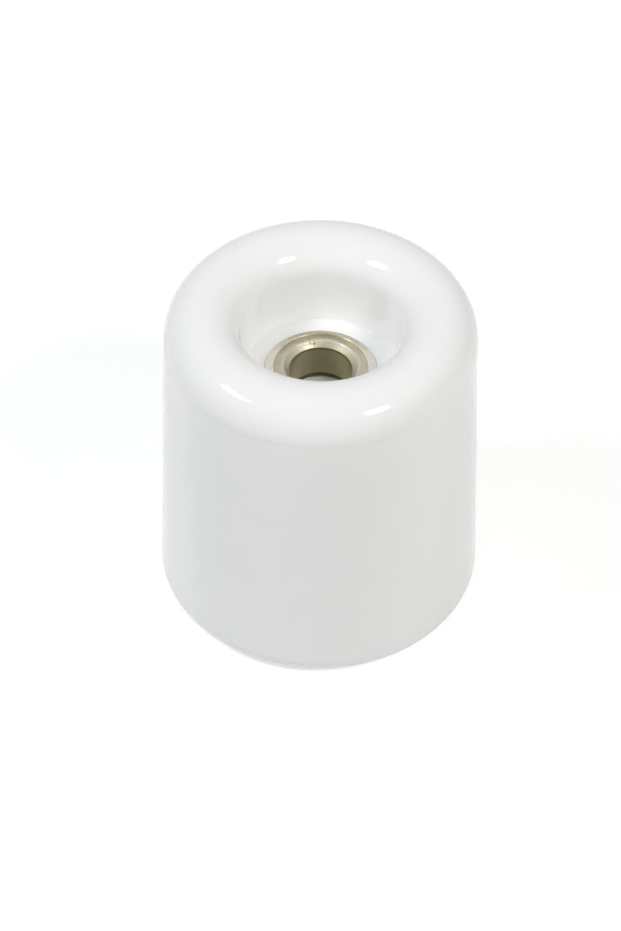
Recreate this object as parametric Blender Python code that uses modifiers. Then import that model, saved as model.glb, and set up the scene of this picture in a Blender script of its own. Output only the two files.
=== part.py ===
"""Plastic door stop: a moulded plastic body with a deep-drawn metal ferrule seated in its recess.

Metres, +Z up. The frame stands at the centre of the base, and the base lies on Z = 0.
Both pieces are turned shapes, so every outline below is a list of (radius, height) points.
"""
import math

import bpy

MM = 0.001

# Body: outside
BODY_HEIGHT = 35.0 * MM
BASE_RADIUS = 16.0 * MM         # side of the body just above the base round
TOP_RADIUS = 15.15 * MM         # side of the body just below the rim; less than the base by the mould draft
BASE_ROUND = 2.2 * MM
RIM_ROUND = 3.7 * MM            # from the side up to the crest of the rim

# Body: recess and screw hole
RECESS_DEPTH = 8.05 * MM        # crest of the rim to the recess floor
MOUTH_DROP = 4.55 * MM          # height over which the mouth curves from the crest to the upright wall
WALL_DRAFT = 0.1 * MM           # extra radius at the top of the upright wall
FLOOR_MARGIN = 1.75 * MM        # recess floor outside the ferrule, wall included
FLOOR_FILLET = 0.35 * MM
SEAT_DEPTH = 0.43 * MM          # shallow seat that lets the flange lie nearly level with the floor
POCKET_CHAMFER = 0.3 * MM       # lead-in at the top of the pocket for the ferrule's tube
SCREW_HOLE_RADIUS = 2.25 * MM

# Ferrule, from the bore outwards
SHEET = 0.3 * MM
BORE_RADIUS = 3.12 * MM
BELL_RUN = 0.42 * MM            # bell mouth, from the bore out to the top of the bead
BELL_DROP = 0.5 * MM            # height of the bell mouth
BEAD_TOP = 0.31 * MM            # level top of the bead
BEAD_SLOPE = 0.65 * MM          # from the top of the bead out to the groove
BEAD_HEIGHT = 0.26 * MM         # top of the bead above the groove
STEP_RUN = 0.12 * MM            # from the groove out to the shoulder
STEP_RISE = 0.25 * MM           # shoulder above the groove
FLANGE_WIDTH = 0.91 * MM        # shoulder out to the edge of the flange
FLANGE_FALL = 0.34 * MM         # the flange slopes down from the shoulder to its edge
TUBE_DEPTH = 3.76 * MM          # straight tube below the bell mouth
EDGE_BREAK = 0.08 * MM          # rounding of the sheet's cut edges

# Fit between the two pieces
FIT_GAP = 0.3 * MM

# Facets
TURN_STEPS = 72
FERRULE_STEPS = 48
SHARP_ANGLE = math.radians(40)

COLLECTION_NAME = "Plastic door stop"


def arc(centre, radii, start, end, segments):
    """Points of an elliptical arc; angles in degrees, 0 outwards and 90 upwards."""
    points = []
    for i in range(segments + 1):
        angle = math.radians(start + (end - start) * i / segments)
        points.append((centre[0] + radii[0] * math.cos(angle), centre[1] + radii[1] * math.sin(angle)))
    return points


def groove_drop():
    """How far the underside of the sheet lies below its upper face at the groove, where two slopes meet."""
    slope = math.hypot(BEAD_SLOPE, BEAD_HEIGHT)
    step = math.hypot(STEP_RUN, STEP_RISE)
    down = BEAD_SLOPE / slope + STEP_RUN / step
    meeting = (BEAD_SLOPE * STEP_RUN - BEAD_HEIGHT * STEP_RISE) / (slope * step)
    return SHEET * down / (1 + meeting)


def edge_drop():
    """How far the lower corner of the flange's cut edge lies below the groove's upper face."""
    return FLANGE_FALL - STEP_RISE + SHEET * FLANGE_WIDTH / math.hypot(FLANGE_WIDTH, FLANGE_FALL)


def ferrule_levels():
    """Radii and heights that the ferrule and its seat share."""
    levels = {}
    levels["floor"] = BODY_HEIGHT - RECESS_DEPTH
    levels["seat"] = levels["floor"] - SEAT_DEPTH
    levels["groove"] = levels["seat"] + FIT_GAP + max(groove_drop(), edge_drop())
    levels["bead"] = levels["groove"] + BEAD_HEIGHT
    levels["shoulder"] = levels["groove"] + STEP_RISE
    levels["flange_edge"] = levels["shoulder"] - FLANGE_FALL
    levels["bore_top"] = levels["bead"] - BELL_DROP
    levels["tube_end"] = levels["bore_top"] - TUBE_DEPTH
    levels["ledge"] = levels["tube_end"] - FIT_GAP

    levels["bead_radius"] = BORE_RADIUS + BELL_RUN
    levels["groove_radius"] = levels["bead_radius"] + BEAD_TOP + BEAD_SLOPE
    levels["shoulder_radius"] = levels["groove_radius"] + STEP_RUN
    levels["flange_radius"] = levels["shoulder_radius"] + FLANGE_WIDTH
    levels["seat_radius"] = levels["flange_radius"] + FIT_GAP
    levels["pocket_radius"] = BORE_RADIUS + SHEET + FIT_GAP
    return levels


def body_outline():
    """Closed section of the body: down the outside, in along the base, up the hole and the recess."""
    level = ferrule_levels()
    crest = TOP_RADIUS - RIM_ROUND
    wall = level["flange_radius"] + FLOOR_MARGIN
    throat = wall + WALL_DRAFT
    floor = level["floor"]
    pocket = level["pocket_radius"]

    rim = arc((crest, BODY_HEIGHT - RIM_ROUND), (RIM_ROUND, RIM_ROUND), 90, 0, 9)
    base = arc((BASE_RADIUS - BASE_ROUND, BASE_ROUND), (BASE_ROUND, BASE_ROUND), 0, -90, 5)
    hole = [(SCREW_HOLE_RADIUS, 0.0), (SCREW_HOLE_RADIUS, level["ledge"]), (pocket, level["ledge"])]
    seat = [
        (pocket, level["seat"] - POCKET_CHAMFER),
        (pocket + POCKET_CHAMFER, level["seat"]),
        (level["seat_radius"], level["seat"]),
        (level["seat_radius"], floor),
    ]
    corner = arc((wall - FLOOR_FILLET, floor + FLOOR_FILLET), (FLOOR_FILLET, FLOOR_FILLET), -90, 0, 3)
    mouth = arc((crest, BODY_HEIGHT - MOUTH_DROP), (crest - throat, MOUTH_DROP), 180, 90, 11)
    return rim + base + hole + seat + corner + mouth[:-1]


def ferrule_outline():
    """Upper face of the sheet: up the bore, over the bead, up the step and down the flange."""
    level = ferrule_levels()
    bead = level["bead_radius"]
    tube = [(BORE_RADIUS, level["tube_end"])]
    bell = arc((bead, level["bore_top"]), (BELL_RUN, BELL_DROP), 180, 90, 5)
    top = [(bead + BEAD_TOP, level["bead"]), (level["groove_radius"], level["groove"])]
    flange = [(level["shoulder_radius"], level["shoulder"]), (level["flange_radius"], level["flange_edge"])]
    return tube + bell + top + flange


def plastic():
    material = bpy.data.materials.new("Milky white plastic")
    material.use_nodes = True
    shader = material.node_tree.nodes["Principled BSDF"]
    shader.inputs["Base Color"].default_value = (0.80, 0.81, 0.79, 1.0)
    shader.inputs["Roughness"].default_value = 0.12
    shader.inputs["Metallic"].default_value = 0.0
    return material


def nickel():
    material = bpy.data.materials.new("Nickel plate")
    material.use_nodes = True
    shader = material.node_tree.nodes["Principled BSDF"]
    shader.inputs["Base Color"].default_value = (0.62, 0.57, 0.46, 1.0)
    shader.inputs["Roughness"].default_value = 0.24
    shader.inputs["Metallic"].default_value = 1.0
    return material


def turned_object(name, outline, closed, steps, material):
    """An outline in the XZ plane, carried round Z by a Screw modifier."""
    vertices = [(radius, 0.0, height) for radius, height in outline]
    edges = [(i, i + 1) for i in range(len(outline) - 1)]
    if closed:
        edges.append((len(outline) - 1, 0))
    mesh = bpy.data.meshes.new(name)
    mesh.from_pydata(vertices, edges, [])
    mesh.materials.append(material)
    turned = bpy.data.objects.new(name, mesh)
    bpy.data.collections[COLLECTION_NAME].objects.link(turned)

    screw = turned.modifiers.new("Turn", "SCREW")
    screw.axis = "Z"
    screw.angle = math.tau
    screw.steps = steps
    screw.render_steps = steps
    screw.use_merge_vertices = True
    screw.merge_threshold = 1e-6
    return turned


def apply_modifiers(turned):
    """Keep the evaluated shape as the object's own mesh, smooth but for its real corners."""
    evaluated = turned.evaluated_get(bpy.context.evaluated_depsgraph_get())
    mesh = bpy.data.meshes.new_from_object(evaluated)
    turned.modifiers.clear()
    turned.data = mesh
    mesh.shade_smooth()
    mesh.set_sharp_from_angle(angle=SHARP_ANGLE)


def build_body():
    body = turned_object("stop_body", body_outline(), True, TURN_STEPS, plastic())
    apply_modifiers(body)


def build_ferrule():
    """Sheet metal: the upper face is turned, and the sheet's thickness lies beneath it."""
    ferrule = turned_object("screw_ferrule", ferrule_outline(), False, FERRULE_STEPS, nickel())

    sheet = ferrule.modifiers.new("Sheet", "SOLIDIFY")
    sheet.thickness = SHEET
    sheet.offset = -1.0
    sheet.use_even_offset = True

    edge = ferrule.modifiers.new("Cut edges", "BEVEL")
    edge.width = EDGE_BREAK
    edge.segments = 2
    edge.limit_method = "ANGLE"
    edge.angle_limit = math.radians(60)
    apply_modifiers(ferrule)


def main():
    for existing in list(bpy.data.objects):
        bpy.data.objects.remove(existing, do_unlink=True)
    collection = bpy.data.collections.new(COLLECTION_NAME)
    bpy.context.scene.collection.children.link(collection)
    build_body()
    build_ferrule()


main()
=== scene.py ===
"""Looks of a plastic door stop: milky plastic and a nickel plated ferrule, in a white studio."""
import math

import bmesh
import bpy
from mathutils import Matrix, Vector, noise


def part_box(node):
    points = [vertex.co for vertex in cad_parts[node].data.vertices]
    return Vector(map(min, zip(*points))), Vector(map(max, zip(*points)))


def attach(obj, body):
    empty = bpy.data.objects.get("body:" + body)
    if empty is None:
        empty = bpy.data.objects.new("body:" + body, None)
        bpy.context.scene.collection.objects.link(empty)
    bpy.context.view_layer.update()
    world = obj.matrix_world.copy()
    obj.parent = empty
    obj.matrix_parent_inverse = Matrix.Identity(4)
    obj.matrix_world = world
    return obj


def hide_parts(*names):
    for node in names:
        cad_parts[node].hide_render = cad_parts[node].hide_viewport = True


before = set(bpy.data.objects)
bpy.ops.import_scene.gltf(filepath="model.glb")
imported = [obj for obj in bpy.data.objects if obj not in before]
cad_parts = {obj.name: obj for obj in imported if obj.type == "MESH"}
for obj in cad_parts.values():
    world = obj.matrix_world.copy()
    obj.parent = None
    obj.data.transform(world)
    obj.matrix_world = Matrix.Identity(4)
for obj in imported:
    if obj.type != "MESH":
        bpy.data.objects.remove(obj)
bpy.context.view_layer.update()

MM = 0.001

# Sizes of the body. The frame gives the overall ones, and most others are the solid's own.
_, BODY_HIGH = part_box("stop_body")
BODY_HEIGHT = BODY_HIGH.z
BASE_RADIUS = BODY_HIGH.x
TOP_RADIUS = 15.15 * MM         # side just below the rim's round; less than the base by the draft
BASE_ROUND = 2.2 * MM
RIM_ROUND = 3.7 * MM
RECESS_DEPTH = 8.05 * MM        # crest of the rim to the recess floor
MOUTH_DROP = 4.55 * MM          # half height of the ellipse that the mouth follows
WALL_DRAFT = 0.1 * MM           # the ellipse's lowest point lies this far outside the wall's foot
LIP_TILT = 45.0                 # slope, in degrees, where the mouth tightens into the lip
LIP_ROUND = 3.0 * MM
FLOOR_MARGIN = 1.78 * MM        # recess floor outside the flange
FLOOR_FILLET = 0.12 * MM
SEAT_DEPTH = 0.43 * MM
SEAT_EDGE_ROUND = 0.02 * MM
SCREW_HOLE_RADIUS = 2.25 * MM
HOLE_EDGE_ROUND = 0.25 * MM

# Sizes of the ferrule, from the bore outwards
SHEET = 0.3 * MM
CUT_EDGE_BULGE = 0.12           # rounding of the sheet's cut edges, as a share of the sheet
CUT_EDGE_STEPS = 8
BORE_RADIUS = 3.05 * MM
BELL_RUN = 0.55 * MM
BELL_RISE = 0.59 * MM
BELL_FOOT_ROUND = 0.12 * MM
BELL_TOP_ROUND = 0.35 * MM
BEAD_TOP = 0.27 * MM
BEAD_SWELL = 0.06 * MM          # the top of the bead rises outwards
BEAD_ROUND = 0.20 * MM
BEAD_SLOPE = 0.65 * MM
BEAD_HEIGHT = 0.45 * MM
GROOVE_FILLET = 0.05 * MM
GROOVE_WIDTH = 0.03 * MM
STEP_FILLET = 0.03 * MM
STEP_RUN = 0.08 * MM
STEP_RISE = 0.24 * MM
SHOULDER_ROUND = 0.20 * MM
FLANGE_WIDTH = 0.87 * MM
FLANGE_FALL = 0.43 * MM
FLANGE_PROUD = 0.06 * MM        # edge of the flange above the recess floor
RUN_OUT = 0.008 * MM            # how far that edge runs out of true
EDGE_WAVE = 0.02 * MM           # and how far it waves up and down
TUBE_END = 23.20 * MM           # height of the tube's lower end
SEATED_GAP = 0.01 * MM          # room round the dressed ferrule, where the solids keep 0.3 mm
END_GAP = 0.30 * MM             # from the end of the tube down to the ledge

# Heights and radii that follow from those sizes
RIM_RADIUS = TOP_RADIUS - RIM_ROUND
FLOOR_LEVEL = BODY_HEIGHT - RECESS_DEPTH
FLANGE_EDGE = FLOOR_LEVEL + FLANGE_PROUD
SHOULDER = FLANGE_EDGE + FLANGE_FALL
GROOVE = SHOULDER - STEP_RISE
BEAD_CREST = GROOVE + BEAD_HEIGHT
BELL_TOP = BEAD_CREST - BEAD_SWELL
BELL_FOOT = BELL_TOP - BELL_RISE
BELL_RADIUS = BORE_RADIUS + BELL_RUN
CREST_RADIUS = BELL_RADIUS + BEAD_TOP
GROOVE_RADIUS = CREST_RADIUS + BEAD_SLOPE
STEP_RADIUS = GROOVE_RADIUS + GROOVE_WIDTH
SHOULDER_RADIUS = STEP_RADIUS + STEP_RUN
FLANGE_RADIUS = SHOULDER_RADIUS + FLANGE_WIDTH
WALL_RADIUS = FLANGE_RADIUS + FLOOR_MARGIN

# The mould's witness line, where the rim's round meets the side
WITNESS_HEIGHT = BODY_HEIGHT - RIM_ROUND
WITNESS_DEPTH = 0.015 * MM      # a slight dip just below the line
WITNESS_WIDTH = 0.25 * MM
WITNESS_LINE = 0.10 * MM        # half width of the line of painted shade in the material
WITNESS_SHARE = (0.01, 0.09)    # how far that line of painted shade goes towards the marks' tint
OUTSIDE = (TOP_RADIUS - 0.5 * MM, TOP_RADIUS - 0.3 * MM)    # keeps the line out of the recess

# Nicks and scratches on the plastic: where each starts and ends (azimuth in degrees, height),
# its half width, and how far it goes towards the marks' tint
MARKS = (
    ((-123.2, 31.20 * MM), (-120.8, 31.12 * MM), 0.16 * MM, 0.22),
    ((-118.6, 31.02 * MM), (-112.2, 31.22 * MM), 0.14 * MM, 0.13),
    ((-110.9, 31.25 * MM), (-107.7, 31.38 * MM), 0.13 * MM, 0.18),
    ((-68.8, 31.36 * MM), (-64.2, 31.46 * MM), 0.16 * MM, 0.20),
    ((-157.9, 31.30 * MM), (-151.4, 30.87 * MM), 0.08 * MM, 0.10),
    ((-148.5, 29.40 * MM), (-137.5, 30.70 * MM), 0.12 * MM, 0.06),
    ((-176.0, 32.60 * MM), (-167.5, 31.85 * MM), 0.30 * MM, 0.60),
    ((-166.4, 20.30 * MM), (-166.0, 20.10 * MM), 0.20 * MM, 0.20),
)
# tint of the nicks and scratches, and of the painted shade along the witness line
MARK_AND_CREASE_SHADE_TINT = (0.60, 0.60, 0.57, 1.0)
MARK_FAINTEST = 0.35            # a mark's weakest stretch, as a share of its strongest
STROKE_CORE = 0.3               # share of its half width at which a mark starts to fade
SPOT_CORE = 0.4                 # share of its radius at which a spot starts to fade

# Plastic
PLASTIC_TINT = (0.960, 0.963, 0.963, 1.0)
PLASTIC_TINT_PALE = (0.970, 0.972, 0.971, 1.0)
PLASTIC_IOR = 1.5
PLASTIC_ROUGHNESS = (0.06, 0.11)
MARK_ROUGHNESS = 0.35           # roughness that a mark adds
MILKINESS = 0.3                 # share of the light that enters the plastic
MILK_DEPTH = 4.0 * MM           # how far it gets, and the shares of that for red, green and blue
MILK_RADIUS = (1.0, 0.95, 0.85)
RIPPLE = 0.05                   # relief of the surface and of a mark, times the relief's height
MARK_RELIEF = 0.12
PLASTIC_RELIEF = 0.05 * MM

# Nickel, by place
FLANGE_TINT = (0.79, 0.765, 0.67, 1.0)
FLANGE_TINT_PALE = (0.85, 0.825, 0.735, 1.0)
BEAD_TINT = (0.55, 0.52, 0.43, 1.0)
# painted shade in the groove between bead and step, darkest at the back
GROOVE_SHADE_TINT = (0.46, 0.42, 0.31, 1.0)
BORE_TINT = (0.60, 0.55, 0.34, 1.0)
BORE_TINT_GREY = (0.60, 0.57, 0.42, 1.0)
# painted shade just inside the lip
LIP_SHADE_TINT = (0.34, 0.30, 0.17, 1.0)
# painted shade at the tube's lower end, and the tint of the chip on the bead
END_SHADE_AND_CHIP_TINT = (0.14, 0.12, 0.06, 1.0)
# tint of the scuffs, and of the painted shade at the back of the bead
SCUFF_AND_SHADE_TINT = (0.34, 0.31, 0.24, 1.0)
CHIP = (-0.67 * MM, 3.24 * MM, 27.34 * MM)
CHIP_RADIUS = 0.16 * MM
# Painted shade: the back of the flange, away from the camera, goes darker towards this tint
BACK_SHADE_TINT = (0.42, 0.385, 0.27, 1.0)
FLANGE_BACK_SHADE = 0.95                  # how far the back of the flange is darkened towards that tint, as painted shade
BEAD_BACK_SHADE = 0.60             # and the back of the bead towards the scuffs' tint, as painted shade
PLATE_ROUGHNESS = 0.21
BLOTCH_ROUGHNESS = 0.06         # roughness that each of these adds
LINE_ROUGHNESS = 0.08
BEAD_WEAR = 0.16
DULLNESS = 0.20
SCUFF_ROUGHNESS = 0.20
LINE_RELIEF = 0.15              # relief of the turning lines, where a scuff's is 1
NICKEL_RELIEF = 0.03 * MM

# Where each look of the nickel starts and where it is full, in radius or height
BEAD_FADE = (CREST_RADIUS + 0.35 * MM, CREST_RADIUS)
DULL_INNER = (CREST_RADIUS, CREST_RADIUS + 0.30 * MM)
DULL_OUTER = (SHOULDER_RADIUS, STEP_RADIUS - 0.02 * MM)
BORE_START = (BELL_FOOT + 0.08 * MM, BELL_FOOT - 0.02 * MM)
BORE_LIP = (BELL_FOOT - 0.35 * MM, BELL_FOOT - 0.10 * MM)
BORE_END = (TUBE_END + 0.65 * MM, TUBE_END + 0.35 * MM)
WORN_RING = (BELL_RADIUS - 0.25 * MM, CREST_RADIUS - 0.05 * MM)
WORN_MARGIN = 0.10 * MM
AT_BACK = (0.35, 0.95)          # sine of the azimuth where the back starts and is full
DULL_SHARE = (0.75, 1.0)        # dullness and painted shade of the groove, from its lightest blotch to its darkest
GROOVE_SHADE_SHARE = (0.60, 1.0)      # how far the groove goes towards its tint of painted shade, at front and back
SCUFF_SHARE = (0.25, 0.85)      # how strong the scuffs are, at front and back

# Values of each noise between which its effect goes from none to full
CLOUD_RANGE = (0.35, 0.65)
SMUDGE_RANGE = (0.35, 0.70)
WITNESS_RANGE = (0.40, 0.65)
MARK_RANGE = (0.35, 0.60)
LINE_RANGE = (0.30, 0.70)
BLOTCH_RANGE = (0.30, 0.70)
DULL_RANGE = (0.30, 0.60)
SCUFF_RANGE = (0.49, 0.62)
BORE_MOTTLE_RANGE = (0.35, 0.65)

# Studio
FLOOR_SHADE = (0.72, 0.72, 0.72, 1.0)
FLOOR_ROUGHNESS = 0.9
FLOOR_LIFT = 0.52               # glow that brings the lit floor up to white
FLOOR_REACH = 3.0
WHITE = (1.0, 1.0, 1.0, 1.0)
CEILING_LEVEL = 0.355           # light from straight above, and from the horizon
HORIZON_LEVEL = 0.20
CEILING_LOW = 0.05              # sine of the heights between which one passes into the other
CEILING_HIGH = 0.50
LAMP_DISTANCE = 0.6             # from the top of the object
LAMP_POWER = 4.0                # watts per square metre of an area lamp, for a radiance of 1

# Softboxes: azimuth, angle from the vertical, width and height in degrees; radiance; colour
SOFTBOXES = {
    "softbox_left": (193.0, 42.3, 16.0, 7.5, 26.5, (0.94, 0.98, 1.0)),
    "softbox_front": (-43.3, 44.0, 12.0, 9.0, 29.0, (1.0, 0.98, 0.94)),
}

# Camera, from the fit of the outline, the rings and the highlights in the photograph
PHOTO_WIDTH = 621
PHOTO_HEIGHT = 931
CAMERA_ELEVATION = math.radians(44.85)
CAMERA_ROLL = 0.0112            # radians
CAMERA_DISTANCE = 345.8 * MM
CAMERA_CLIP = (0.01, 20.0)
SENSOR_WIDTH = 36.0
PIXELS_PER_METRE = 10106.0      # at the camera's target, half way up the axis
TARGET_IN_PHOTO = (319.91, 438.78)

# Facets
BODY_STEPS = 224
FERRULE_STEPS = 224
SHARP_ANGLE = math.radians(38)
LARGEST_REACH = 0.45            # of either side, for a fillet in a corner


# Outlines: lists of (radius, height)

def arc(centre, radii, start, end, segments):
    """Points of an elliptical arc; angles in degrees, 0 outwards and 90 upwards."""
    points = []
    for i in range(segments + 1):
        angle = math.radians(start + (end - start) * i / segments)
        across, up = radii[0] * math.cos(angle), radii[1] * math.sin(angle)
        points.append((centre[0] + across, centre[1] + up))
    return points


def line(start, end, segments):
    """Points along a straight stretch, without its first."""
    steps = [(i + 1) / segments for i in range(segments)]
    return [(start[0] + (end[0] - start[0]) * t, start[1] + (end[1] - start[1]) * t) for t in steps]


def corner(before, at, after, radius, segments):
    """A fillet of that radius in the corner at one point between two straight stretches."""
    at = Vector(at)
    back = Vector(before) - at
    ahead = Vector(after) - at
    half = back.normalized().angle(ahead.normalized()) / 2
    reach = min(radius / math.tan(half), LARGEST_REACH * back.length, LARGEST_REACH * ahead.length)
    start = at + back.normalized() * reach
    end = at + ahead.normalized() * reach
    steps = [i / segments for i in range(segments + 1)]
    return [tuple(start.lerp(at, t).lerp(at.lerp(end, t), t)) for t in steps]


def offset(points, distance):
    """The same open outline, moved square to itself; to the right of its direction of travel."""
    moved = []
    for i, point in enumerate(points):
        before = Vector(points[max(i - 1, 0)])
        after = Vector(points[min(i + 1, len(points) - 1)])
        along = (after - before).normalized()
        moved.append((point[0] + along.y * distance, point[1] - along.x * distance))
    return moved


def cut_edge(start, end, outward, thickness):
    """Points from one face of a sheet to the other, round its cut edge."""
    bulge = outward.normalized() * thickness * CUT_EDGE_BULGE
    middle = (Vector(start) + Vector(end)) / 2 - bulge
    half = (Vector(start) - Vector(end)) / 2
    turns = [math.pi * k / CUT_EDGE_STEPS for k in range(CUT_EDGE_STEPS + 1)]
    return [tuple(middle + bulge * math.sin(turn) + half * math.cos(turn)) for turn in turns]


def sheet_section(upper, thickness):
    """Closed section of a sheet below an open outline, with rounded cut edges."""
    lower = offset(upper, thickness)
    past_start = Vector(upper[0]) - Vector(upper[1])
    past_end = Vector(upper[-1]) - Vector(upper[-2])
    start_edge = cut_edge(lower[0], upper[0], past_start, thickness)
    end_edge = cut_edge(upper[-1], lower[-1], past_end, thickness)
    return upper[1:-1] + end_edge + lower[-2:0:-1] + start_edge


def recess_wall(floor_end):
    """Up from the recess floor: its fillet, the straight wall, the lip and the mouth's ellipse."""
    throat = WALL_RADIUS + WALL_DRAFT
    tilt = math.radians(LIP_TILT)
    turn = math.degrees(math.atan2(MOUTH_DROP, (RIM_RADIUS - throat) * math.tan(tilt)))
    centre = (RIM_RADIUS, BODY_HEIGHT - MOUTH_DROP)
    mouth = arc(centre, (RIM_RADIUS - throat, MOUTH_DROP), 180 - turn, 90, 20)

    # The lip is an arc that goes on from the mouth's slope and that the wall touches
    centre = Vector(mouth[0]) + LIP_ROUND * Vector((math.sin(tilt), -math.cos(tilt)))
    foot = Vector((WALL_RADIUS, FLOOR_LEVEL))
    rise = centre - foot
    slope = math.degrees(math.atan2(rise.y, rise.x) + math.asin(LIP_ROUND / rise.length))
    lip = arc(tuple(centre), (LIP_ROUND, LIP_ROUND), 90 + slope, 90 + LIP_TILT, 16)

    fillet = corner(floor_end, tuple(foot), lip[0], FLOOR_FILLET, 8)
    wall = line(fillet[-1], lip[0], 12)[:-1]
    return fillet + wall + lip[:-1] + mouth[:-1]


def body_outline():
    """Closed section of the body: down the outside, in along the base, up hole and recess."""
    seat = FLOOR_LEVEL - SEAT_DEPTH
    seat_wall = FLANGE_RADIUS + SEATED_GAP
    pocket = BORE_RADIUS + SHEET + SEATED_GAP
    ledge = TUBE_END - END_GAP
    hole = SCREW_HOLE_RADIUS

    rim = arc((RIM_RADIUS, BODY_HEIGHT - RIM_ROUND), (RIM_ROUND, RIM_ROUND), 90, 0, 30)
    side = []
    for radius, height in line(rim[-1], (BASE_RADIUS, BASE_ROUND), 60):
        below = WITNESS_HEIGHT - height
        dip = WITNESS_DEPTH * math.exp(-((below / WITNESS_WIDTH - 1.0) ** 2))
        side.append((radius - dip, height))
    base = arc((BASE_RADIUS - BASE_ROUND, BASE_ROUND), (BASE_ROUND, BASE_ROUND), 0, -90, 14)[1:]
    foot = [(hole + HOLE_EDGE_ROUND, 0.0), (hole, HOLE_EDGE_ROUND)]
    shaft = line(foot[-1], (hole, ledge - HOLE_EDGE_ROUND), 12) + [(hole + HOLE_EDGE_ROUND, ledge)]
    seating = [(pocket, ledge), (pocket, seat), (seat_wall, seat)]
    edge = corner(seating[-1], (seat_wall, FLOOR_LEVEL), (WALL_RADIUS, FLOOR_LEVEL),
                  SEAT_EDGE_ROUND, 4)
    floor = line(edge[-1], (WALL_RADIUS - FLOOR_FILLET, FLOOR_LEVEL), 5)[:-1]
    return rim + side + base + foot + shaft + seating + edge + floor + recess_wall(floor[-1])


def on_the_side(azimuth, height):
    """The place on the body's outside at that azimuth, in degrees, and height."""
    if height > WITNESS_HEIGHT:
        up = height - WITNESS_HEIGHT
        radius = RIM_RADIUS + math.sqrt(RIM_ROUND ** 2 - up ** 2)
    else:
        down = (WITNESS_HEIGHT - height) / (WITNESS_HEIGHT - BASE_ROUND)
        radius = TOP_RADIUS + (BASE_RADIUS - TOP_RADIUS) * down
    angle = math.radians(azimuth)
    return Vector((radius * math.cos(angle), radius * math.sin(angle), height))


def ferrule_outline():
    """Upper face of the sheet: up the bore, over the bead, up the step and down the flange."""
    corners = [
        (BORE_RADIUS, BELL_FOOT, BELL_FOOT_ROUND),
        (BELL_RADIUS, BELL_TOP, BELL_TOP_ROUND),
        (CREST_RADIUS, BEAD_CREST, BEAD_ROUND),
        (GROOVE_RADIUS, GROOVE, GROOVE_FILLET),
        (STEP_RADIUS, GROOVE, STEP_FILLET),
        (SHOULDER_RADIUS, SHOULDER, SHOULDER_ROUND),
    ]
    start = (BORE_RADIUS, TUBE_END)
    end = (FLANGE_RADIUS, FLANGE_EDGE)
    places = [start] + [at[:2] for at in corners] + [end]
    outline = [start] + line(start, (BORE_RADIUS, BELL_FOOT - BELL_FOOT_ROUND), 16)
    for i, at in enumerate(corners):
        outline += corner(places[i], places[i + 1], places[i + 2], at[2], 12)
    return outline + line(outline[-1], end, 10)


# Meshes

def turned_piece(name, section, steps, shape=None):
    """A closed section carried round Z; shape may move a point by its angle, radius and height."""
    rows = len(section)
    vertices = []
    for k in range(steps):
        angle = math.tau * k / steps
        for radius, height in section:
            r, z = (radius, height) if shape is None else shape(angle, radius, height)
            vertices.append((r * math.cos(angle), r * math.sin(angle), z))
    faces = []
    for k in range(steps):
        this, after = k * rows, (k + 1) % steps * rows
        for i in range(rows):
            j = (i + 1) % rows
            faces.append((this + i, this + j, after + j, after + i))
    mesh = bpy.data.meshes.new(name)
    mesh.from_pydata(vertices, [], faces)
    shaper = bmesh.new()
    shaper.from_mesh(mesh)
    bmesh.ops.recalc_face_normals(shaper, faces=shaper.faces)
    shaper.to_mesh(mesh)
    shaper.free()
    mesh.shade_smooth()
    mesh.set_sharp_from_angle(angle=SHARP_ANGLE)
    piece = bpy.data.objects.new(name, mesh)
    bpy.context.scene.collection.objects.link(piece)
    return piece


def noise_round(angle, scale, layer):
    """Smooth noise round the axis, from -1 to 1."""
    return noise.noise(Vector((scale * math.cos(angle), scale * math.sin(angle), layer)))


def drawn_sheet(angle, radius, height):
    """Slight unevenness of a deep-drawn flange, whose edge never goes past its own radius."""
    share = max(0.0, (radius - SHOULDER_RADIUS) / FLANGE_WIDTH)
    radius -= share * RUN_OUT * (0.5 + 0.5 * noise_round(angle, scale=2.2, layer=0.4))
    height += share * EDGE_WAVE * noise_round(angle, scale=3.5, layer=7.0)
    return radius, height


# Materials

def seen_white(nodes, links):
    """1 for the rays that see white: from the camera, in gloss and through clear material."""
    path = nodes.new("ShaderNodeLightPath")
    seen = path.outputs["Is Camera Ray"]
    for name in ("Is Glossy Ray", "Is Transmission Ray"):
        either = nodes.new("ShaderNodeMath")
        either.operation = "MAXIMUM"
        links.new(seen, either.inputs[0])
        links.new(path.outputs[name], either.inputs[1])
        seen = either.outputs[0]
    return seen


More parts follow.
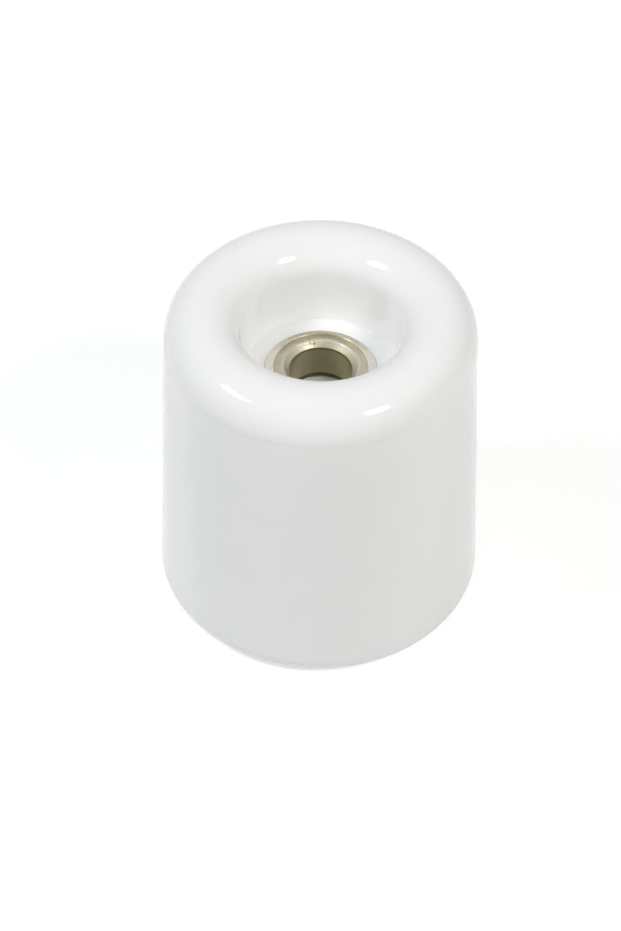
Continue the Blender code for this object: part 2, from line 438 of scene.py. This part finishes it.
class Nodes:
    """A material's node tree, with short calls to add and link nodes."""

    def __init__(self, name):
        self.material = bpy.data.materials.new(name)
        self.material.use_nodes = True
        self.tree = self.material.node_tree
        self.shader = self.tree.nodes["Principled BSDF"]
        self.output = self.tree.nodes["Material Output"]

    def add(self, kind, **settings):
        node = self.tree.nodes.new(kind)
        for key, value in settings.items():
            setattr(node, key, value)
        return node

    def link(self, source, target):
        self.tree.links.new(source, target)

    def feed(self, node, index, value):
        """An input by its index, from a socket, a place, a colour or a number."""
        if isinstance(value, (Vector, tuple, int, float)):
            node.inputs[index].default_value = value
        else:
            self.link(value, node.inputs[index])

    def set(self, node, **values):
        """Socket values by name, with underscores for spaces."""
        for key, value in values.items():
            node.inputs[key.replace("_", " ")].default_value = value
        return node

    def position(self):
        """Place on the object, in metres."""
        return self.add("ShaderNodeTexCoord").outputs["Object"]

    def noise(self, position, scale, detail=2.0, roughness=0.5):
        texture = self.add("ShaderNodeTexNoise")
        self.set(texture, Scale=scale, Detail=detail, Roughness=roughness)
        self.link(position, texture.inputs["Vector"])
        return texture.outputs["Fac"]

    def remap(self, value, from_low, from_high, to_low=0.0, to_high=1.0):
        """One range of a value carried to another, and held at its ends."""
        node = self.add("ShaderNodeMapRange")
        for index, number in enumerate((value, from_low, from_high, to_low, to_high)):
            self.feed(node, index, number)
        return node.outputs[0]

    def math(self, operation, a, b=None, clamp=False):
        node = self.add("ShaderNodeMath", operation=operation, use_clamp=clamp)
        self.feed(node, 0, a)
        if b is not None:
            self.feed(node, 1, b)
        return node.outputs[0]

    def vector(self, operation, a, b):
        node = self.add("ShaderNodeVectorMath", operation=operation)
        self.feed(node, 0, a)
        self.feed(node, 3 if operation == "SCALE" else 1, b)
        return node.outputs["Value" if operation in ("DOT_PRODUCT", "DISTANCE") else "Vector"]

    def mix(self, factor, a, b):
        """Colour a where factor is 0 and b where it is 1."""
        node = self.add("ShaderNodeMix", data_type="RGBA")
        for index, value in ((0, factor), (6, a), (7, b)):
            self.feed(node, index, value)
        return node.outputs[2]

    def split(self, position):
        node = self.add("ShaderNodeSeparateXYZ")
        self.link(position, node.inputs[0])
        return node.outputs

    def cylindrical(self, x, y, z, around, outwards, upwards):
        """Place as (angle, radius, height), each times its own scale; then the plain radius."""
        angle = self.math("ARCTAN2", y, x)
        squares = self.math("ADD", self.math("MULTIPLY", x, x), self.math("MULTIPLY", y, y))
        radius = self.math("SQRT", squares)
        join = self.add("ShaderNodeCombineXYZ")
        for index, (value, scale) in enumerate(((angle, around), (radius, outwards), (z, upwards))):
            self.link(self.math("MULTIPLY", value, scale), join.inputs[index])
        return join.outputs[0], radius

    def ring(self, value, low, high, soft):
        """1 between two values, and 0 beyond a soft margin outside them."""
        rising = self.remap(value, low - soft, low)
        falling = self.remap(value, high, high + soft, 1.0, 0.0)
        return self.math("MINIMUM", rising, falling)

    def spot(self, position, centre, radius):
        """1 at a place on the object, falling to 0 at a small distance from it."""
        away = self.vector("DISTANCE", position, centre)
        return self.remap(away, SPOT_CORE * radius, radius, 1.0, 0.0)

    def stroke(self, position, start, end, half_width):
        """1 along a short straight mark from place to place, falling to 0 at its half width."""
        along = end - start
        share = self.vector("SUBTRACT", position, start)
        share = self.vector("DOT_PRODUCT", share, along / along.length_squared)
        share = self.math("MULTIPLY", share, 1.0, clamp=True)
        nearest = self.vector("ADD", self.vector("SCALE", along, share), start)
        away = self.vector("DISTANCE", position, nearest)
        return self.remap(away, STROKE_CORE * half_width, half_width, 1.0, 0.0)

    def bump(self, height, strength, distance):
        node = self.set(self.add("ShaderNodeBump"), Strength=strength, Distance=distance)
        self.link(height, node.inputs["Height"])
        self.link(node.outputs[0], self.shader.inputs["Normal"])


def milky_plastic():
    """Glossy moulded plastic, a little translucent, with faint clouds, smudges and marks, and
    painted shade along the witness line.
    """
    n = Nodes("milky_white_plastic")
    place = n.position()
    x, y, height = n.split(place)
    clouds = n.noise(place, scale=140.0, detail=3.0, roughness=0.55)
    colour = n.mix(n.remap(clouds, *CLOUD_RANGE), PLASTIC_TINT, PLASTIC_TINT_PALE)

    grain_at, radius = n.cylindrical(x, y, height, around=24.0, outwards=0.0, upwards=5000.0)
    grain = n.noise(grain_at, scale=1.0, detail=4.0, roughness=0.65)
    outside = n.remap(radius, *OUTSIDE)
    # Painted shade: a broken dark line along the crease of the witness line; the nicks and
    # scratches after it are real marks
    low, high = WITNESS_HEIGHT - WITNESS_LINE, WITNESS_HEIGHT + WITNESS_LINE
    witness = n.math("MULTIPLY", n.ring(height, low, high, WITNESS_LINE), outside)
    marks = n.math("MULTIPLY", witness, n.remap(grain, *WITNESS_RANGE, *WITNESS_SHARE))
    for start, end, half_width, depth in MARKS:
        stroke = n.stroke(place, on_the_side(*start), on_the_side(*end), half_width)
        worn = n.remap(grain, *MARK_RANGE, MARK_FAINTEST * depth, depth)
        marks = n.math("MAXIMUM", marks, n.math("MULTIPLY", stroke, worn))
    n.link(n.mix(marks, colour, MARK_AND_CREASE_SHADE_TINT), n.shader.inputs["Base Color"])

    smudges = n.noise(place, scale=420.0, detail=4.0, roughness=0.6)
    gloss = n.remap(smudges, *SMUDGE_RANGE, *PLASTIC_ROUGHNESS)
    gloss = n.math("ADD", gloss, n.math("MULTIPLY", marks, MARK_ROUGHNESS))
    n.link(gloss, n.shader.inputs["Roughness"])
    n.set(n.shader, IOR=PLASTIC_IOR, Subsurface_Weight=MILKINESS, Subsurface_Scale=MILK_DEPTH,
          Subsurface_Radius=MILK_RADIUS)
    ripples = n.math("MULTIPLY", n.noise(place, scale=900.0), RIPPLE)
    relief = n.math("SUBTRACT", ripples, n.math("MULTIPLY", marks, MARK_RELIEF))
    n.bump(relief, strength=1.0, distance=PLASTIC_RELIEF)
    return n.material


def nickel_plate():
    """Warm nickel on drawn steel: turning lines, a rougher groove, a darker olive bore and scuffs,
    with painted shade in the groove, over the back, below the lip and at the tube's end.
    """
    n = Nodes("nickel_plate")
    place = n.position()
    x, y, height = n.split(place)
    lines_at, radius = n.cylindrical(x, y, height, around=2.0, outwards=9000.0, upwards=9000.0)
    lines = n.noise(lines_at, scale=1.0, detail=3.0, roughness=0.6)
    blotches = n.noise(place, scale=900.0, detail=3.0, roughness=0.6)
    at_back = n.remap(n.math("DIVIDE", y, radius), *AT_BACK)

    flange = n.mix(n.remap(blotches, *BLOTCH_RANGE), FLANGE_TINT, FLANGE_TINT_PALE)
    # Painted shade: the flange darkens towards its back
    flange = n.mix(n.math("MULTIPLY", at_back, FLANGE_BACK_SHADE), flange, BACK_SHADE_TINT)
    on_bead = n.remap(radius, *BEAD_FADE)
    # Painted shade: the bead darkens towards its back, in the scuffs' tint
    bead = n.mix(n.math("MULTIPLY", at_back, BEAD_BACK_SHADE), BEAD_TINT, SCUFF_AND_SHADE_TINT)
    plate = n.mix(on_bead, flange, bead)

    # Painted shade in the groove, stronger at the back; the same mask makes the groove rougher
    in_groove = n.math("MINIMUM", n.remap(radius, *DULL_INNER), n.remap(radius, *DULL_OUTER))
    dull_and_shaded = n.math("MULTIPLY", in_groove, n.remap(blotches, *DULL_RANGE, *DULL_SHARE))
    groove_shade = n.math("MULTIPLY", dull_and_shaded, n.remap(at_back, 0.0, 1.0, *GROOVE_SHADE_SHARE))
    plate = n.mix(groove_shade, plate, GROOVE_SHADE_TINT)

    marks_at, _ = n.cylindrical(x, y, height, around=45.0, outwards=2600.0, upwards=2600.0)
    marks = n.remap(n.noise(marks_at, scale=1.0, detail=4.0, roughness=0.7), *SCUFF_RANGE)
    worn = n.ring(radius, *WORN_RING, WORN_MARGIN)
    scuffed = n.math("MULTIPLY", worn, n.remap(at_back, 0.0, 1.0, *SCUFF_SHARE))
    scuffs = n.math("MULTIPLY", marks, scuffed)
    plate = n.mix(scuffs, plate, SCUFF_AND_SHADE_TINT)
    plate = n.mix(n.spot(place, CHIP, CHIP_RADIUS), plate, END_SHADE_AND_CHIP_TINT)

    in_bore = n.remap(height, *BORE_START)
    inside = n.remap(radius, CREST_RADIUS, BELL_RADIUS)
    near_lip = n.remap(height, *BORE_LIP)
    near_end = n.remap(height, *BORE_END)
    # The bore is darker and more olive than the flange, mottled between two tints
    bore = n.mix(n.remap(blotches, *BORE_MOTTLE_RANGE), BORE_TINT, BORE_TINT_GREY)
    # Painted shade: the bore is darkened just below the lip
    bore = n.mix(near_lip, bore, LIP_SHADE_TINT)
    # Painted shade: the tube is darkened near its lower end, above the ledge
    bore = n.mix(near_end, bore, END_SHADE_AND_CHIP_TINT)
    plate = n.mix(n.math("MULTIPLY", in_bore, inside), plate, bore)
    n.link(plate, n.shader.inputs["Base Color"])

    blotched = PLATE_ROUGHNESS + BLOTCH_ROUGHNESS
    fine = n.remap(lines, *LINE_RANGE, 0.0, LINE_ROUGHNESS)
    coarse = n.remap(blotches, *BLOTCH_RANGE, PLATE_ROUGHNESS, blotched)
    sheen = n.math("ADD", fine, coarse)
    for wear, roughness in ((on_bead, BEAD_WEAR), (dull_and_shaded, DULLNESS), (scuffs, SCUFF_ROUGHNESS)):
        sheen = n.math("ADD", sheen, n.math("MULTIPLY", wear, roughness))
    n.link(sheen, n.shader.inputs["Roughness"])
    n.set(n.shader, Metallic=1.0)
    relief = n.math("SUBTRACT", n.math("MULTIPLY", lines, LINE_RELIEF), scuffs)
    n.bump(relief, strength=0.35, distance=NICKEL_RELIEF)
    return n.material


def studio_floor():
    """A pale floor that keeps the object's shadow, and shows as white paper to eye and gloss."""
    n = Nodes("studio_floor")
    n.set(n.shader, Base_Color=FLOOR_SHADE, Roughness=FLOOR_ROUGHNESS, Specular_IOR_Level=0.0)
    seen = seen_white(n.tree.nodes, n.tree.links)
    glow = n.set(n.add("ShaderNodeEmission"), Color=WHITE)
    n.link(n.math("MULTIPLY", seen, FLOOR_LIFT), glow.inputs["Strength"])
    both = n.add("ShaderNodeAddShader")
    n.link(n.shader.outputs[0], both.inputs[0])
    n.link(glow.outputs[0], both.inputs[1])
    n.link(both.outputs[0], n.output.inputs["Surface"])
    return n.material


# Studio and camera

def softbox(name, azimuth, tilt, wide, tall, radiance, colour):
    """An area lamp seen from the object at that azimuth and angle from the vertical, in degrees."""
    azimuth, tilt = math.radians(azimuth), math.radians(tilt)
    direction = Vector((
        math.sin(tilt) * math.cos(azimuth),
        math.sin(tilt) * math.sin(azimuth),
        math.cos(tilt),
    ))
    data = bpy.data.lights.new(name, "AREA")
    data.shape = "RECTANGLE"
    data.size = 2 * LAMP_DISTANCE * math.tan(math.radians(wide / 2))
    data.size_y = 2 * LAMP_DISTANCE * math.tan(math.radians(tall / 2))
    data.energy = LAMP_POWER * radiance * data.size * data.size_y
    data.color = colour
    lamp = bpy.data.objects.new(name, data)
    lamp.location = Vector((0, 0, BODY_HEIGHT)) + direction * LAMP_DISTANCE
    lamp.rotation_mode = "QUATERNION"
    lamp.rotation_quaternion = (-direction).to_track_quat("-Z", "Y")
    bpy.context.scene.collection.objects.link(lamp)


def surroundings():
    """Even white to eye and gloss; as light, a ceiling that falls off towards the horizon."""
    world = bpy.data.worlds.new("studio")
    world.use_nodes = True
    nodes, links = world.node_tree.nodes, world.node_tree.links
    height = nodes.new("ShaderNodeSeparateXYZ")
    links.new(nodes.new("ShaderNodeTexCoord").outputs["Generated"], height.inputs[0])
    level = nodes.new("ShaderNodeMapRange")
    level.interpolation_type = "SMOOTHSTEP"
    ranges = (CEILING_LOW, CEILING_HIGH, HORIZON_LEVEL, CEILING_LEVEL)
    for index, value in enumerate(ranges, 1):
        level.inputs[index].default_value = value
    links.new(height.outputs["Z"], level.inputs[0])
    strength = nodes.new("ShaderNodeMix")
    links.new(seen_white(nodes, links), strength.inputs[0])
    links.new(level.outputs[0], strength.inputs[2])
    strength.inputs[3].default_value = 1.0
    background = nodes["Background"]
    background.inputs["Color"].default_value = WHITE
    links.new(strength.outputs[0], background.inputs["Strength"])
    return world


def studio():
    """White floor, even light all round, and two softboxes where the highlights put them."""
    mesh = bpy.data.meshes.new("studio_floor")
    shaper = bmesh.new()
    bmesh.ops.create_circle(shaper, cap_ends=True, segments=64, radius=FLOOR_REACH)
    shaper.to_mesh(mesh)
    shaper.free()
    mesh.materials.append(studio_floor())
    floor = bpy.data.objects.new("studio_floor", mesh)
    bpy.context.scene.collection.objects.link(floor)

    bpy.context.scene.world = surroundings()
    for name, settings in SOFTBOXES.items():
        softbox(name, *settings)


def camera():
    """The photograph's view. The lens is aimed beside the object's middle, so it needs no shift."""
    target = Vector((0, 0, BODY_HEIGHT / 2))
    back = Vector((0, -math.cos(CAMERA_ELEVATION), math.sin(CAMERA_ELEVATION)))
    turn = Matrix.Rotation(CAMERA_ROLL, 3, back)
    right = turn @ Vector((1, 0, 0))
    up = turn @ back.cross(Vector((1, 0, 0)))
    beside = (TARGET_IN_PHOTO[0] - PHOTO_WIDTH / 2) / PIXELS_PER_METRE
    above = (PHOTO_HEIGHT / 2 - TARGET_IN_PHOTO[1]) / PIXELS_PER_METRE
    place = target + back * CAMERA_DISTANCE
    aim = target - right * beside - up * above

    data = bpy.data.cameras.new("camera")
    data.sensor_width = SENSOR_WIDTH
    data.lens = PIXELS_PER_METRE * CAMERA_DISTANCE / PHOTO_HEIGHT * SENSOR_WIDTH
    data.clip_start, data.clip_end = CAMERA_CLIP
    data.dof.use_dof = False
    seen = bpy.data.objects.new("camera", data)
    out = (place - aim).normalized()
    across = up.cross(out).normalized()
    upright = out.cross(across)
    turned = Matrix((across, upright, out)).transposed().to_4x4()
    seen.matrix_world = Matrix.Translation(place) @ turned
    bpy.context.scene.collection.objects.link(seen)
    bpy.context.scene.camera = seen


def dress(piece, node, material):
    """The piece shows in its node's place, and stays with the body."""
    piece.data.materials.append(material)
    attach(piece, "root")
    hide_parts(node)


def main():
    body = turned_piece("moulded_body", body_outline(), BODY_STEPS)
    dress(body, "stop_body", milky_plastic())
    section = sheet_section(ferrule_outline(), SHEET)
    ferrule = turned_piece("drawn_ferrule", section, FERRULE_STEPS, drawn_sheet)
    dress(ferrule, "screw_ferrule", nickel_plate())
    studio()
    camera()
    bpy.context.scene.view_settings.view_transform = "Standard"


main()
